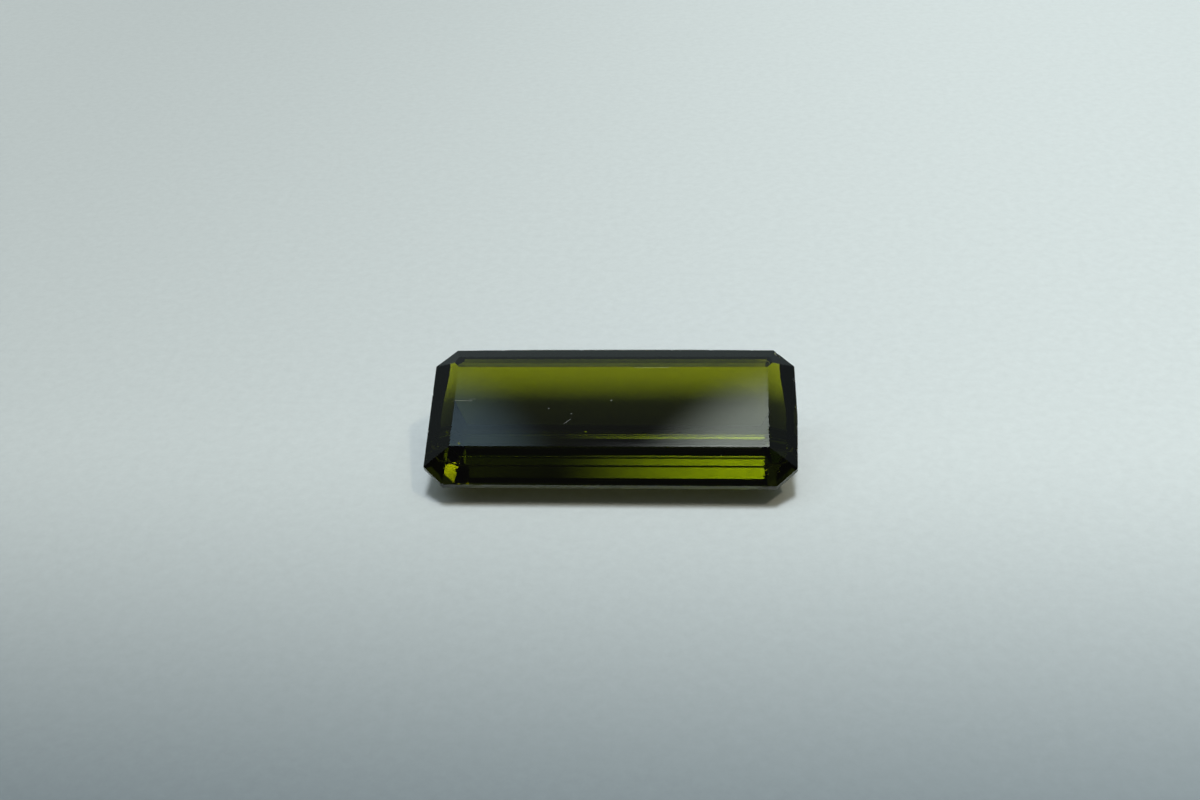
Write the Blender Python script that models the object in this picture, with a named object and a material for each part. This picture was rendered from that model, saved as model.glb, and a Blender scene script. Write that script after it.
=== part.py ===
# Faceted emerald-cut tourmaline, lying on one of its long lower facets.
# The rough block is a cube, and every facet is one plane cut through it.
# The stone is laid out table up, in millimetres, with +X along its length and
# z = 0 at the girdle's upper edge. It is then leaned over onto the second long
# facet up from the keel on the near side, and brought to metres.

from math import atan2, cos, radians, sin

import bmesh
import bpy
from mathutils import Matrix, Vector

NAME = "tourmaline"
MM = 0.001

# Girdle outline
LENGTH = 20.0
WIDTH = 8.9
CORNER = 1.12
GIRDLE = 0.32

# The far side and the right end are ground slightly convex
FAR_BOW = 0.12
FAR_BOW_FLAT = 4.2
END_BOW = 0.09

# Crown: one row of facets up to the table
CROWN_HEIGHT = 1.2
TABLE_INSET_SIDE = 1.68
TABLE_INSET_END = 1.52

# A narrow second crown step along the table's far edge
FAR_STEP_SLOPE = radians(26.0)
FAR_STEP_INSET = 0.34

# Pavilion rows below the girdle: drop, inset of the near side, of the far side
# and of the ends, and the corner cut that is left
PAVILION_ROWS = (
    (1.21, 1.12, 1.112, 0.62, 0.95),
    (1.31, 1.99, 1.949, 0.74, 0.24),
    (0.38, 0.86, 0.570, 0.24, 0.08),
)
# Last row: two long facets that meet in a keel. The near one is cut flatter,
# so the keel lies a little behind the middle.
KEEL_DROP = 0.337
KEEL_BEHIND = 0.314
KEEL_END_INSET = 0.24

BLOCK = 44.0
COLOUR = (0.088, 0.104, 0.008, 1.0)


def outline(half_length, near, far, corner, z):
    """Eight points round the stone, from the far end of the left side."""
    x, c = half_length, corner
    plan = (
        (-x, far - c),
        (-x + c, far),
        (x - c, far),
        (x, far - c),
        (x, -near + c),
        (x - c, -near),
        (-x + c, -near),
        (-x, -near + c),
    )
    return [Vector((px, py, z)) for px, py in plan]


def cut_facet(bm, a, b, c, inside):
    """Cut the block along the plane of three points and close the cut."""
    normal = (b - a).cross(c - a).normalized()
    if normal.dot(inside - a) > 0.0:
        normal.negate()
    cut = bmesh.ops.bisect_plane(
        bm,
        geom=bm.verts[:] + bm.edges[:] + bm.faces[:],
        dist=1e-5,
        plane_co=a,
        plane_no=normal,
        clear_outer=True,
    )
    rim = [e for e in cut["geom_cut"] if isinstance(e, bmesh.types.BMEdge)]
    bmesh.ops.contextual_create(bm, geom=rim)


def cut_stone():
    bm = bmesh.new()
    bmesh.ops.create_cube(bm, size=BLOCK)
    inside = Vector((0.0, 0.0, -0.5 * GIRDLE))

    half_length = 0.5 * LENGTH
    half_width = 0.5 * WIDTH
    upper = outline(half_length, half_width, half_width, CORNER, 0.0)
    lower = outline(half_length, half_width, half_width, CORNER, -GIRDLE)

    # Girdle
    bowed_far = half_width + FAR_BOW
    rim = upper[:2]
    rim += [Vector((-FAR_BOW_FLAT, bowed_far, 0.0)), Vector((FAR_BOW_FLAT, bowed_far, 0.0))]
    rim += upper[2:4]
    rim += [Vector((half_length + END_BOW, 0.0, 0.0))]
    rim += upper[4:]
    for a, b in zip(rim, rim[1:] + rim[:1]):
        cut_facet(bm, a, b, a - Vector((0.0, 0.0, GIRDLE)), inside)

    # Table and crown; each corner facet runs to a point at the table
    tx = half_length - TABLE_INSET_END
    ty = half_width - TABLE_INSET_SIDE
    table = [
        Vector((-tx, ty, CROWN_HEIGHT)),
        Vector((tx, ty, CROWN_HEIGHT)),
        Vector((tx, -ty, CROWN_HEIGHT)),
        Vector((-tx, -ty, CROWN_HEIGHT)),
    ]
    cut_facet(bm, table[0], table[1], table[2], inside)
    for k in range(4):
        first = 2 * k
        cut_facet(bm, upper[first], upper[first + 1], table[k], inside)
        cut_facet(bm, upper[first + 1], upper[(first + 2) % 8], table[k], inside)
    on_table = Vector((0.0, ty - FAR_STEP_INSET, CROWN_HEIGHT))
    down_step = Vector((0.0, cos(FAR_STEP_SLOPE), -sin(FAR_STEP_SLOPE)))
    cut_facet(bm, on_table, on_table + Vector((1.0, 0.0, 0.0)), on_table + down_step, inside)

    # Pavilion rows
    x, z = half_length, -GIRDLE
    near = far = half_width
    ring = lower
    for drop, near_inset, far_inset, end_inset, corner in PAVILION_ROWS:
        x -= end_inset
        z -= drop
        near -= near_inset
        far -= far_inset
        below = outline(x, near, far, corner, z)
        for i in range(8):
            cut_facet(bm, ring[i], ring[(i + 1) % 8], below[i], inside)
        ring = below

    # Keel
    keel_x = x - KEEL_END_INSET
    left = Vector((-keel_x, KEEL_BEHIND, z - KEEL_DROP))
    right = Vector((keel_x, KEEL_BEHIND, z - KEEL_DROP))
    for i, keel_end in enumerate((left, left, right, right, right, right, left, left)):
        cut_facet(bm, ring[i], ring[(i + 1) % 8], keel_end, inside)
    return bm


def lay_down(bm):
    """Lean the stone onto the last near row's facet, centred over the origin."""
    drop, near_inset = PAVILION_ROWS[-1][:2]
    bm.transform(Matrix.Rotation(atan2(drop, near_inset), 4, "X"))
    xs = [v.co.x for v in bm.verts]
    ys = [v.co.y for v in bm.verts]
    zs = [v.co.z for v in bm.verts]
    shift = Vector((-0.5 * (min(xs) + max(xs)), -0.5 * (min(ys) + max(ys)), -min(zs)))
    bm.transform(Matrix.Scale(MM, 4) @ Matrix.Translation(shift))
    bmesh.ops.recalc_face_normals(bm, faces=bm.faces[:])


def glass_green():
    material = bpy.data.materials.new(NAME)
    material.use_nodes = True
    shader = material.node_tree.nodes["Principled BSDF"]
    shader.inputs["Base Color"].default_value = COLOUR
    shader.inputs["Roughness"].default_value = 0.03
    shader.inputs["Metallic"].default_value = 0.0
    shader.inputs["IOR"].default_value = 1.63
    shader.inputs["Transmission Weight"].default_value = 0.9
    return material


def main():
    for obj in list(bpy.data.objects):
        bpy.data.objects.remove(obj, do_unlink=True)

    collection = bpy.data.collections.new(NAME)
    bpy.context.scene.collection.children.link(collection)

    bm = cut_stone()
    lay_down(bm)
    mesh = bpy.data.meshes.new(NAME)
    bm.to_mesh(mesh)
    bm.free()
    mesh.materials.append(glass_green())

    stone = bpy.data.objects.new(NAME, mesh)
    collection.objects.link(stone)


main()
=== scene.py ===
import math
import random

import bpy
from mathutils import Matrix, Vector


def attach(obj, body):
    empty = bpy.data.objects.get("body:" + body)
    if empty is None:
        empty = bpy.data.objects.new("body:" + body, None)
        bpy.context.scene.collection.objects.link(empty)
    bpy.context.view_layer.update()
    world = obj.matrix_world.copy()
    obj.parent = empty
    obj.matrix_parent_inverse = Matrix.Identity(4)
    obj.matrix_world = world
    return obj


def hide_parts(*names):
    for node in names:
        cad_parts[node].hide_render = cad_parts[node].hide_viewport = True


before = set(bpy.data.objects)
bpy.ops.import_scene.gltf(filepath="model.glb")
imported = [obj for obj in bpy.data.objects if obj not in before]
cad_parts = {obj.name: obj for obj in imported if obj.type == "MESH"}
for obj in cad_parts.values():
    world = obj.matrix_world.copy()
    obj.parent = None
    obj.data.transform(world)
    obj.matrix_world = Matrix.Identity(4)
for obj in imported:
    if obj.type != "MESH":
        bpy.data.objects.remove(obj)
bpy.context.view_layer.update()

# A cut tourmaline on pale paper. The stone is cut in millimetres, table up, and is then laid down
# on the second long facet up from the keel, on the near side.
millimetre = 0.001


def toLinear(hexColour):
    channels = [int(hexColour[i:i + 2], 16) / 255 for i in (1, 3, 5)]
    return [c / 12.92 if c <= 0.04045 else ((c + 0.055) / 1.055) ** 2.4 for c in channels] + [1.0]


def addNode(tree, kind, settings=None, links=None):
    node = tree.nodes.new("ShaderNode" + kind)
    for key, value in (settings or {}).items():
        if isinstance(key, str) and hasattr(node, key):
            setattr(node, key, value)
        else:
            node.inputs[key].default_value = value
    for key, source in (links or {}).items():
        tree.links.new(source, node.inputs[key])
    return node


def startMaterial(name):
    material = bpy.data.materials.new(name)
    material.use_nodes = True
    tree = material.node_tree
    return material, tree, tree.nodes["Principled BSDF"], tree.nodes["Material Output"]


def deselectAll():
    if bpy.context.object and bpy.context.object.mode != "OBJECT":
        bpy.ops.object.mode_set(mode="OBJECT")
    bpy.ops.object.select_all(action="DESELECT")


def makeOnly(piece):
    deselectAll()
    piece.select_set(True)
    bpy.context.view_layer.objects.active = piece


# Stone: planned in millimetres, z = 0 at the girdle's upper edge

stone = {
    "block": 44.0,  # the rough cube that every facet is cut from
    "length": 20.0,
    "width": 8.9,
    "corner": 1.12,
    "girdle": 0.32,
    "farBow": 0.12,
    "farBowFlat": 4.2,
    "endBow": 0.09,
    "crownHeight": 1.2,
    "tableInsetSide": 1.68,
    "tableInsetEnd": 1.52,
    "pavilionRows": (  # drop, then inset of the near side, far side and ends, then the corner cut left
        (1.21, 1.12, 1.112, 0.62, 0.95),
        (1.31, 1.99, 1.949, 0.74, 0.24),
        (0.38, 0.86, 0.570, 0.24, 0.08),
    ),
    "keelDrop": 0.337,
    "keelBehind": 0.314,
    "keelEndInset": 0.24,
    "farFlatSlope": 41.0,  # degrees, a narrow extra flat between the first two far rows
    "farFlatDepth": 0.028,
    "farStepSlope": 26.0,  # degrees, a second crown step along the table's far edge
    "farStepInset": 0.34,
    "edgeWear": 0.035,  # width of the worn line along each facet edge
    "wornAbove": 4.0,  # degrees between two facets, under which their edge stays crisp
}


def outline(halfLength, near, far, corner, z):
    x, c = halfLength, corner
    plan = ((-x, far - c), (-x + c, far), (x - c, far), (x, far - c),
            (x, -near + c), (x - c, -near), (-x + c, -near), (-x, -near + c))
    return [Vector((px, py, z)) for px, py in plan]


def cutFacet(a, b, c, inside):
    normal = (b - a).cross(c - a).normalized()
    if normal.dot(inside - a) > 0.0:
        normal.negate()
    bpy.ops.mesh.select_all(action="SELECT")
    bpy.ops.mesh.bisect(plane_co=a, plane_no=normal, use_fill=True, clear_outer=True, threshold=1e-5)


def cutStone():
    deselectAll()
    bpy.ops.mesh.primitive_cube_add(size=stone["block"], location=(0, 0, 0))
    piece = bpy.context.object
    piece.name = "cutStone"
    bpy.ops.object.mode_set(mode="EDIT")
    inside = Vector((0, 0, -0.5 * stone["girdle"]))
    halfLength, halfWidth = 0.5 * stone["length"], 0.5 * stone["width"]
    upper = outline(halfLength, halfWidth, halfWidth, stone["corner"], 0.0)
    lower = outline(halfLength, halfWidth, halfWidth, stone["corner"], -stone["girdle"])

    # Girdle, bowed on the far side and at the right end
    bowedFar = halfWidth + stone["farBow"]
    rim = upper[:2] + [Vector((side * stone["farBowFlat"], bowedFar, 0)) for side in (-1, 1)]
    rim += upper[2:4] + [Vector((halfLength + stone["endBow"], 0, 0))] + upper[4:]
    for a, b in zip(rim, rim[1:] + rim[:1]):
        cutFacet(a, b, a - Vector((0, 0, stone["girdle"])), inside)

    # Table and crown
    tx, ty = halfLength - stone["tableInsetEnd"], halfWidth - stone["tableInsetSide"]
    corners = ((-1, 1), (1, 1), (1, -1), (-1, -1))
    table = [Vector((sx * tx, sy * ty, stone["crownHeight"])) for sx, sy in corners]
    cutFacet(table[0], table[1], table[2], inside)
    for k in range(4):
        cutFacet(upper[2 * k], upper[2 * k + 1], table[k], inside)
        cutFacet(upper[2 * k + 1], upper[(2 * k + 2) % 8], table[k], inside)

    # Pavilion rows and keel
    x, near, far, z, ring = halfLength, halfWidth, halfWidth, -stone["girdle"], lower
    for drop, nearInset, farInset, endInset, corner in stone["pavilionRows"]:
        x, near, far, z = x - endInset, near - nearInset, far - farInset, z - drop
        below = outline(x, near, far, corner, z)
        for i in range(8):
            cutFacet(ring[i], ring[(i + 1) % 8], below[i], inside)
        ring = below
    left = Vector((-(x - stone["keelEndInset"]), stone["keelBehind"], z - stone["keelDrop"]))
    right = Vector((x - stone["keelEndInset"], stone["keelBehind"], z - stone["keelDrop"]))
    for i, keelEnd in enumerate((left, left, right, right, right, right, left, left)):
        cutFacet(ring[i], ring[(i + 1) % 8], keelEnd, inside)

    # Far flat between the first two pavilion rows, then the far crown step
    alongStone = Vector((1, 0, 0))
    drop, farInset = stone["pavilionRows"][0][0], stone["pavilionRows"][0][2]
    slope = math.radians(stone["farFlatSlope"])
    outward = Vector((0, math.sin(slope), -math.cos(slope)))
    onEdge = Vector((0, halfWidth - farInset, -stone["girdle"] - drop)) - outward * stone["farFlatDepth"]
    cutFacet(onEdge, onEdge + alongStone, onEdge + Vector((0, math.cos(slope), math.sin(slope))), inside)
    slope = math.radians(stone["farStepSlope"])
    onTable = Vector((0, ty - stone["farStepInset"], stone["crownHeight"]))
    cutFacet(onTable, onTable + alongStone, onTable + Vector((0, math.cos(slope), -math.sin(slope))), inside)
    bpy.ops.object.mode_set(mode="OBJECT")
    return piece


def layingTransform():
    # Leans the plan onto the last near row's facet and centres it over the origin, in metres
    drop, nearInset = stone["pavilionRows"][-1][:2]
    lean = Matrix.Rotation(math.atan2(drop, nearInset), 4, "X")
    corners = [lean @ v.co for v in cutPiece.data.vertices]
    shift = Vector([-0.5 * (min(c[i] for c in corners) + max(c[i] for c in corners)) for i in (0, 1)]
                   + [-min(c.z for c in corners)])
    return Matrix.Scale(millimetre, 4) @ Matrix.Translation(shift) @ lean


cutPiece = cutStone()
laying = layingTransform()
print("stone cut:", len(cutPiece.data.polygons), "facets")

makeOnly(cutPiece)
bevel = cutPiece.modifiers.new("edgeWear", "BEVEL")
bevel.width = stone["edgeWear"]
bevel.segments = 1
bevel.limit_method = "ANGLE"
bevel.angle_limit = math.radians(stone["wornAbove"])
bpy.ops.object.modifier_apply(modifier=bevel.name)

# Small shell-shaped chips, mostly on the far girdle and the right end

chips = {
    "seed": 11,
    "roughened": 0.16,  # of the chip's radius
    "stretch": (1.6, 1.0, 0.7),  # long along the edge and shallow, as a chip breaks out of a hard stone
    "places": (  # x, y, z, radius
        (-6.3, 4.57, 0.02, 0.16), (-4.1, 4.65, -0.02, 0.12), (-1.9, 4.66, 0.06, 0.19),
        (0.4, 4.65, 0.03, 0.13), (1.5, 4.66, 0.06, 0.17), (3.2, 4.65, 0.0, 0.12),
        (5.4, 4.62, 0.05, 0.18), (7.7, 4.54, 0.0, 0.13), (9.05, 4.12, 0.10, 0.22),
        (10.07, 2.4, 0.03, 0.14), (10.15, 0.6, 0.02, 0.16), (10.14, -0.7, 0.03, 0.13),
        (10.08, -2.2, 0.02, 0.15), (-10.07, 1.4, 0.02, 0.13), (-10.07, -1.1, 0.03, 0.12),
        (-8.9, -4.49, 0.02, 0.12), (4.3, -4.50, 0.02, 0.08),
        # on the table's edges
        (8.43, 0.9, 1.25, 0.07), (8.45, 2.3, 1.25, 0.09), (8.47, -1.7, 1.24, 0.07),
        (-2.6, -2.80, 1.25, 0.06), (3.1, -2.79, 1.24, 0.06), (0.6, -2.80, 1.24, 0.05),
        (-5.5, 2.80, 1.24, 0.06),
        # on the lower edges near both ends
        (8.40, -1.12, -2.96, 0.13), (8.36, -0.80, -3.10, 0.10), (8.42, -2.2, -2.31, 0.12),
        (8.43, -1.65, -2.66, 0.10), (-8.40, -1.05, -2.98, 0.11), (-8.42, -1.9, -2.50, 0.10),
    ),
}


def chipShapes():
    dice = random.Random(chips["seed"])
    shapes = []
    for x, y, z, radius in chips["places"]:
        deselectAll()
        turn = [dice.uniform(0, math.pi) for axis in range(3)]
        bpy.ops.mesh.primitive_ico_sphere_add(subdivisions=2, radius=radius, location=(x, y, z), rotation=turn)
        shape = bpy.context.object
        bpy.ops.object.mode_set(mode="EDIT")
        bpy.ops.mesh.select_all(action="SELECT")
        bpy.ops.transform.vertex_random(offset=radius * chips["roughened"], seed=dice.randrange(1000))
        bpy.ops.object.mode_set(mode="OBJECT")
        shape.scale = chips["stretch"]
        bpy.ops.object.transform_apply(location=True, rotation=True, scale=True)
        shapes.append(shape)
    makeOnly(shapes[0])
    for shape in shapes:
        shape.select_set(True)
    bpy.ops.object.join()
    return bpy.context.object


chipped = chipShapes()
makeOnly(cutPiece)
chipping = cutPiece.modifiers.new("chipping", "BOOLEAN")
chipping.operation = "DIFFERENCE"
chipping.solver = "EXACT"
chipping.object = chipped
bpy.ops.object.modifier_apply(modifier=chipping.name)
bpy.data.objects.remove(chipped)
print("chips cut:", len(chips["places"]))

cutPiece.matrix_world = laying
bpy.ops.object.transform_apply(location=True, rotation=True, scale=True)
print("edges worn:", len(cutPiece.data.polygons), "faces")


# Polished tourmaline, cut and polished on a lap: clear body, strong olive colour that deepens with
# thickness, faint polishing lines along the stone, ground girdle left matt

tourmaline = {
    "ior": 1.63,
    "absorption": (482.0, 460.0, 2200.0),  # per metre, red green blue
    "density": 2300.0,
    "girdleRoughness": 0.30,
    "polishWaves": (0.25, 5.0),  # waves per mm along and across; real ones are about ten times finer
    "polishDetail": 3.0,
    "polishHeight": 2.2e-7,
    "polishRoughness": 0.012,
    "abraded": ((-1.34, 0.10, 0.8), (-0.48, 0.03, 0.35)),  # lower edges: y in the plan, half width, roughness
    "abradedBelow": -2.0,  # z in the plan
    "scratches": (  # on the table: from x, y to x, y, width in mm
        (-8.62, 0.19, -7.50, 0.15, 0.035), (-7.7, 0.27, -7.35, 0.28, 0.02),
        (-2.42, -1.32, -2.08, -1.02, 0.026), (0.02, 0.17, 0.10, 0.24, 0.05),
        (-3.35, -0.35, -3.27, -0.32, 0.04), (-2.10, -0.70, -2.03, -0.65, 0.035),
        (8.15, 3.12, 8.40, 3.12, 0.035), (8.40, 3.12, 8.58, 2.98, 0.035), (8.58, 2.98, 8.60, 2.75, 0.03),
        (-1.7, 2.55, 0.9, 2.57, 0.018), (2.6, 2.50, 5.2, 2.52, 0.018), (1.2, 2.38, 3.1, 2.40, 0.014),
    ),
    "scratchRoughness": 0.42,
    "scratchReach": 0.4,  # mm under the table down to which the marks may lie
    "pitSpacing": 1.5,  # cells per mm
    "pitRadius": 0.035,  # of a cell
    "pitPatches": 0.35,  # patches per mm that do or don't have pits
    "pitShare": 0.5,
}


def polishedTourmaline():
    material, tree, shader, output = startMaterial("polishedTourmaline")
    shader.inputs["Base Color"].default_value = (1, 1, 1, 1)
    shader.inputs["IOR"].default_value = tourmaline["ior"]
    shader.inputs["Transmission Weight"].default_value = 1.0

    def combine(operation, a, b=0.0):
        settings, links = {"operation": operation}, {}
        for slot, value in enumerate((a, b)):
            if isinstance(value, (int, float)):
                settings[slot] = value
            else:
                links[slot] = value
        return addNode(tree, "Math", settings, links).outputs[0]

    def measure(operation, constant, source, result):
        return addNode(tree, "VectorMath", {"operation": operation, 1: constant}, {0: source}).outputs[result]

    # Back to the plan's frame, in millimetres
    place = addNode(tree, "TexCoord")
    back = laying.inverted()
    perMillimetre = 1 / millimetre
    plan = addNode(tree, "Mapping", {"vector_type": "POINT", "Scale": (perMillimetre,) * 3,
                                     "Rotation": back.to_euler(), "Location": back.translation},
                   {"Vector": place.outputs["Object"]}).outputs[0]
    x, y, z = addNode(tree, "SeparateXYZ", links={0: plan}).outputs

    # Matt girdle and abraded lower edges
    girdle = combine("MULTIPLY", combine("LESS_THAN", z, 0.0), combine("GREATER_THAN", z, -stone["girdle"]))
    rough = combine("MULTIPLY", girdle, tourmaline["girdleRoughness"])
    rough = combine("MAXIMUM", rough, tourmaline["polishRoughness"])
    underside = combine("LESS_THAN", z, tourmaline["abradedBelow"])
    for edgeY, halfBand, amount in tourmaline["abraded"]:
        band = combine("LESS_THAN", combine("ABSOLUTE", combine("SUBTRACT", y, edgeY)), halfBand)
        rough = combine("MAXIMUM", rough, combine("MULTIPLY", combine("MULTIPLY", band, underside), amount))

    # Scratches and pits on the table
    onTable = combine("GREATER_THAN", z, stone["crownHeight"] - tourmaline["scratchReach"])
    worn = 0.0
    for x0, y0, x1, y1, width in tourmaline["scratches"]:
        run = Vector((x1 - x0, y1 - y0, 0))
        heading = run.normalized()
        away = measure("SUBTRACT", (x0, y0, 0), plan, 0)
        along = measure("DOT_PRODUCT", heading, away, "Value")
        across = measure("DOT_PRODUCT", (-heading.y, heading.x, 0), away, "Value")
        offMiddle = combine("ABSOLUTE", combine("SUBTRACT", along, 0.5 * run.length))
        mark = combine("MULTIPLY", combine("LESS_THAN", offMiddle, 0.5 * run.length),
                       combine("LESS_THAN", combine("ABSOLUTE", across), 0.5 * width))
        worn = combine("MAXIMUM", mark, worn)
    cells = addNode(tree, "TexVoronoi", {"feature": "F1", "Scale": tourmaline["pitSpacing"]}, {"Vector": plan})
    patches = addNode(tree, "TexNoise", {"Scale": tourmaline["pitPatches"], "Detail": 1.0},
                      {"Vector": plan}).outputs[0]
    pits = combine("MULTIPLY", combine("LESS_THAN", cells.outputs["Distance"], tourmaline["pitRadius"]),
                   combine("GREATER_THAN", patches, tourmaline["pitShare"]))
    worn = combine("MULTIPLY", combine("MAXIMUM", worn, pits), onTable)
    rough = combine("MAXIMUM", rough, combine("MULTIPLY", worn, tourmaline["scratchRoughness"]))
    tree.links.new(rough, shader.inputs["Roughness"])

    # Polishing lines
    lengthwise, crosswise = tourmaline["polishWaves"]
    stretched = addNode(tree, "Mapping", {"Scale": (lengthwise, crosswise, crosswise)},
                        {"Vector": plan}).outputs[0]
    waves = addNode(tree, "TexNoise", {"Scale": 1.0, "Detail": tourmaline["polishDetail"], "Roughness": 0.6},
                    {"Vector": stretched}).outputs[0]
    polish = addNode(tree, "Bump", {"Strength": 1.0, "Distance": tourmaline["polishHeight"]}, {"Height": waves})
    tree.links.new(polish.outputs[0], shader.inputs["Normal"])

    # Body colour
    body = addNode(tree, "VolumeAbsorption", {
        "Color": [1 - s / tourmaline["density"] for s in tourmaline["absorption"]] + [1.0],
        "Density": tourmaline["density"]})
    tree.links.new(body.outputs[0], output.inputs["Volume"])
    return material


cutPiece.data.materials.clear()
cutPiece.data.materials.append(polishedTourmaline())
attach(cutPiece, "root")
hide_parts("tourmaline")
print("stone finished")


# Paper: matt uncoated white card, so the light falls on it softly and its fibres show only as a fine tooth. Its
# colour also holds painted shade, the lamp's falloff: darker towards the front and the left

paper = {
    "size": 1.2,
    "gap": 0.00002,
    "roughness": 0.85,
    "specular": 0.25,
    "colour": "#E4E9EA",
    "shaded": "#717D86",  # painted shade in front, where the lamp reaches less
    "paintedFalloffAhead": (-0.038, 0.004),  # painted falloff from shaded to lit, metres
    # painted shade across the sheet, darker to the left and lighter to the right, metres
    "paintedFalloffAcross": (-0.060, 0.045),
    "sideShade": (0.81, 1.12),
    "mottle": 0.035,
    "toothPerMillimetre": 1.6,  # clumps of fibre; single fibres are in the finer detail
    "toothRange": (0.3, 0.7),  # of the noise, stretched to the whole mottle
    "toothStrength": 0.6,
    "toothHeight": 0.00002,
}


def whiteCard():
    material, tree, shader, output = startMaterial("whiteCard")
    shader.inputs["Roughness"].default_value = paper["roughness"]
    shader.inputs["Specular IOR Level"].default_value = paper["specular"]
    place = addNode(tree, "TexCoord").outputs["Object"]
    across, ahead = addNode(tree, "SeparateXYZ", links={0: place}).outputs[:2]

    def fade(source, start, end, low, high, interpolation="LINEAR"):
        settings = {"interpolation_type": interpolation, 1: start, 2: end, 3: low, 4: high}
        return addNode(tree, "MapRange", settings, {0: source}).outputs[0]

    # painted shade: the sheet's colour darkens towards the front and the left in place of the lamp's falloff;
    # the grain mottle is the card's own tone
    lit = fade(ahead, *paper["paintedFalloffAhead"], 0.0, 1.0, "SMOOTHSTEP")
    side = fade(across, *paper["paintedFalloffAcross"], *paper["sideShade"], "SMOOTHSTEP")
    paintedShadeColour = addNode(tree, "Mix", {"data_type": "RGBA", 6: toLinear(paper["shaded"]),
                                        7: toLinear(paper["colour"])}, {0: lit}).outputs[2]
    grain = addNode(tree, "TexNoise", {"Scale": paper["toothPerMillimetre"] / millimetre, "Detail": 5.0,
                                       "Roughness": 0.7}, {"Vector": place}).outputs[0]
    shade = fade(grain, *paper["toothRange"], 1.0 - paper["mottle"], 1.0 + paper["mottle"])
    shade = addNode(tree, "Math", {"operation": "MULTIPLY"}, {0: shade, 1: side}).outputs[0]
    mottleAndPaintedShade = addNode(tree, "VectorMath", {"operation": "SCALE"}, {0: paintedShadeColour, "Scale": shade}).outputs[0]
    tree.links.new(mottleAndPaintedShade, shader.inputs["Base Color"])
    tooth = addNode(tree, "Bump", {"Strength": paper["toothStrength"], "Distance": paper["toothHeight"]},
                    {"Height": grain})
    tree.links.new(tooth.outputs[0], shader.inputs["Normal"])
    return material


deselectAll()
bpy.ops.mesh.primitive_plane_add(size=paper["size"], location=(0, 0, -paper["gap"]))
sheet = bpy.context.object
sheet.name = "paperFloor"
makeOnly(sheet)
bpy.ops.object.transform_apply(location=True, rotation=True, scale=True)
sheet.data.materials.append(whiteCard())
print("paper laid")


# Light: one soft box overhead, and dim panels that the table, the crown and the lower corner mirror

light = {
    "ambient": 0.012,
    "overhead": 0.06,
    "overheadTint": (1.0, 1.02, 1.04),
    "back": 0.16,
    "backTint": (0.8, 1.0, 1.0),
    "front": 0.5,  # low in front, tints the shadow
    "frontTint": (1.0, 1.0, 0.25),
    # left, right, softness, front, rear, softness (x/z and y/z of the sky overhead), lean, strength, colour
    "panels": (
        (-0.03, 0.10, 0.08, -0.13, 0.14, 0.03, 0.0, 44.0, (0.93, 1.0, 1.05)),  # soft box
        (0.45, 0.52, 0.015, -0.27, -0.13, 0.02, 0.0, 60.0, (0.92, 0.82, 0.6)),  # flash in the lower left corner
        (-0.205, 0.60, 0.035, 0.08, 0.205, 0.02, 1.1, 2.9, (0.88, 1.0, 0.88)),  # right end of the table
        (-1.3, -0.01, 0.03, 0.08, 0.205, 0.03, -0.73, 1.0, (0.50, 0.78, 0.96)),  # left end of the table
        (-1.3, -0.12, 0.05, -0.35, 0.09, 0.03, 0.0, 0.9, (0.88, 1.0, 1.0)),  # fill from the left
    ),
    "lowest": 0.05,  # the least height that the sky is measured at
}


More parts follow.
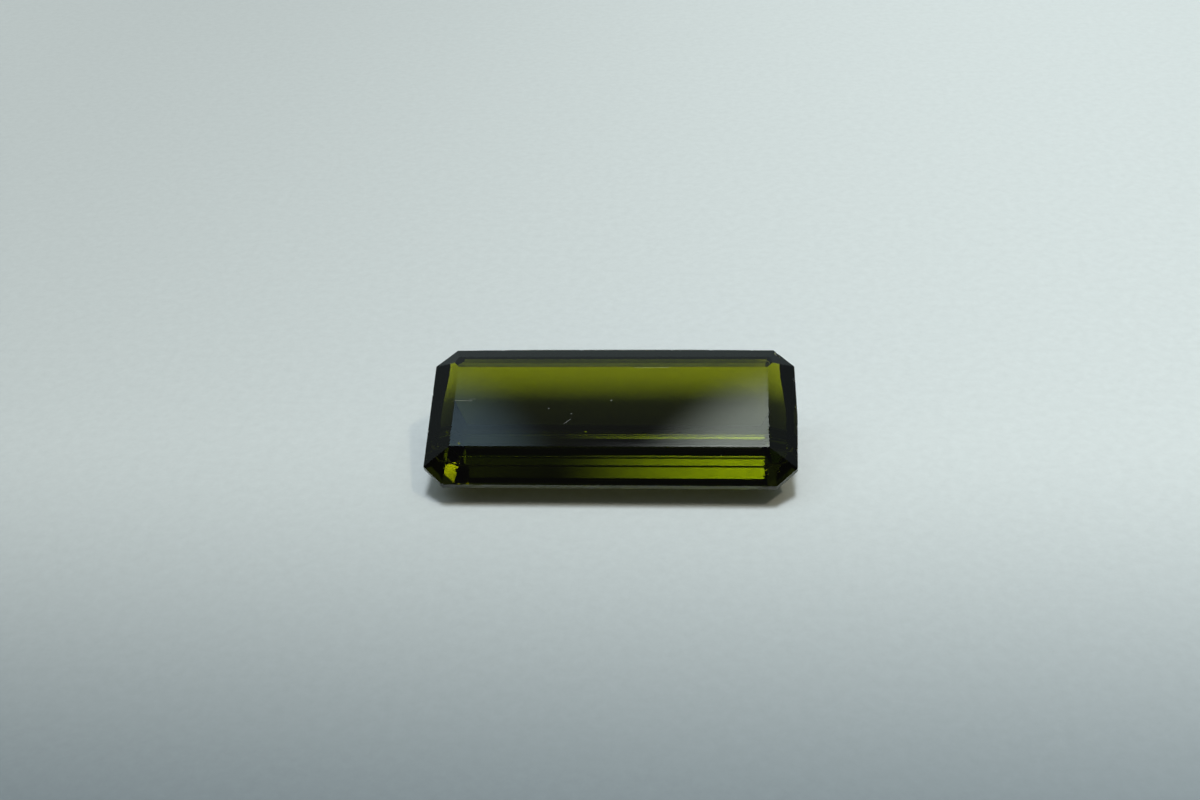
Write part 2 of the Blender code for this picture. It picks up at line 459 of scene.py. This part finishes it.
def softSky():
    world = bpy.data.worlds.new("softSky")
    bpy.context.scene.world = world
    world.use_nodes = True
    tree = world.node_tree
    x, y, z = addNode(tree, "SeparateXYZ", links={0: addNode(tree, "TexCoord").outputs["Generated"]}).outputs

    def ramp(value, low, high):
        ends = {1: low, 2: high, 3: 0.0, 4: 1.0} if low < high else {1: high, 2: low, 3: 1.0, 4: 0.0}
        return addNode(tree, "MapRange", {"interpolation_type": "SMOOTHSTEP", **ends}, {0: value}).outputs[0]

    def times(a, b):
        if isinstance(b, float):
            return addNode(tree, "Math", {"operation": "MULTIPLY", 1: b}, {0: a}).outputs[0]
        return addNode(tree, "Math", {"operation": "MULTIPLY"}, {0: a, 1: b}).outputs[0]

    def tint(colour, strength):
        return addNode(tree, "VectorMath", {"operation": "SCALE", 0: colour}, {"Scale": strength}).outputs[0]

    def plus(a, b):
        return addNode(tree, "VectorMath", {"operation": "ADD"}, {0: a, 1: b}).outputs[0]

    height = addNode(tree, "Math", {"operation": "MAXIMUM", 1: light["lowest"]}, {0: z}).outputs[0]
    across = addNode(tree, "Math", {"operation": "DIVIDE"}, {0: x, 1: height}).outputs[0]
    along = addNode(tree, "Math", {"operation": "DIVIDE"}, {0: y, 1: height}).outputs[0]
    raised = ramp(z, 0.02, 0.1)
    total = tint(light["overheadTint"], times(ramp(z, 0.15, 0.9), light["overhead"]))
    total = plus(total, tint(light["backTint"], times(ramp(y, -0.1, 0.9), light["back"])))
    lowFront = times(ramp(y, -0.3, -0.7), ramp(z, 0.38, 0.25))
    total = plus(total, tint(light["frontTint"], times(lowFront, light["front"])))
    total = addNode(tree, "VectorMath", {"operation": "ADD", 1: (light["ambient"],) * 3}, {0: total}).outputs[0]
    for left, right, softX, front, rear, softY, lean, strength, colour in light["panels"]:
        leaning = {"operation": "MULTIPLY_ADD", 1: -lean}
        leaned = addNode(tree, "Math", leaning, {0: along, 2: across}).outputs[0]
        glow = times(ramp(leaned, left - softX, left + softX), ramp(leaned, right + softX, right - softX))
        inDepth = times(ramp(along, front - softY, front + softY), ramp(along, rear + softY, rear - softY))
        total = plus(total, tint(colour, times(times(times(glow, inDepth), raised), strength)))
    tree.links.new(total, tree.nodes["Background"].inputs["Color"])


softSky()
print("lights set")


# Camera: a macro lens above the near side, turned a little to the right of the stone's middle

view = {
    "elevation": 31.15,
    "azimuth": 5.06,
    "roll": -2.55,
    "distance": 83.84,  # mm from the girdle plane's middle
    "focalPixels": 1537.7,
    "imageWidth": 1200,
    "offset": (-0.62, 0.87),  # mm across and up
    "sensorWidth": 36.0,
    "clipStart": 0.001,
    "bounces": 40,  # light turns many times inside a deep cut
}


def setCamera():
    elevation, azimuth, roll = (math.radians(view[key]) for key in ("elevation", "azimuth", "roll"))
    level = math.cos(elevation)
    back = Vector((level * math.sin(azimuth), -level * math.cos(azimuth), math.sin(elevation)))
    right = (-back).cross(Vector((0, 0, 1))).normalized()
    up = right.cross(-back)
    across = right * math.cos(roll) + up * math.sin(roll)
    upright = up * math.cos(roll) - right * math.sin(roll)
    aim = laying @ Vector((0, 0, 0))
    place = aim + back * view["distance"] * millimetre
    place += (across * view["offset"][0] + upright * view["offset"][1]) * millimetre
    camera = bpy.data.cameras.new("macroCamera")
    holder = bpy.data.objects.new("macroCamera", camera)
    bpy.context.scene.collection.objects.link(holder)
    holder.matrix_world = Matrix.Translation(place) @ Matrix((across, upright, back)).transposed().to_4x4()
    camera.sensor_width = view["sensorWidth"]
    camera.lens = view["focalPixels"] * view["sensorWidth"] / view["imageWidth"]
    camera.clip_start = view["clipStart"]
    bpy.context.scene.camera = holder


setCamera()

scene = bpy.context.scene
scene.view_settings.view_transform = "Standard"
scene.cycles.max_bounces = view["bounces"]
scene.cycles.transmission_bounces = view["bounces"]
scene.cycles.glossy_bounces = view["bounces"]
scene.cycles.caustics_reflective = True
scene.cycles.caustics_refractive = False
scene.cycles.use_denoising = True
print("camera set")
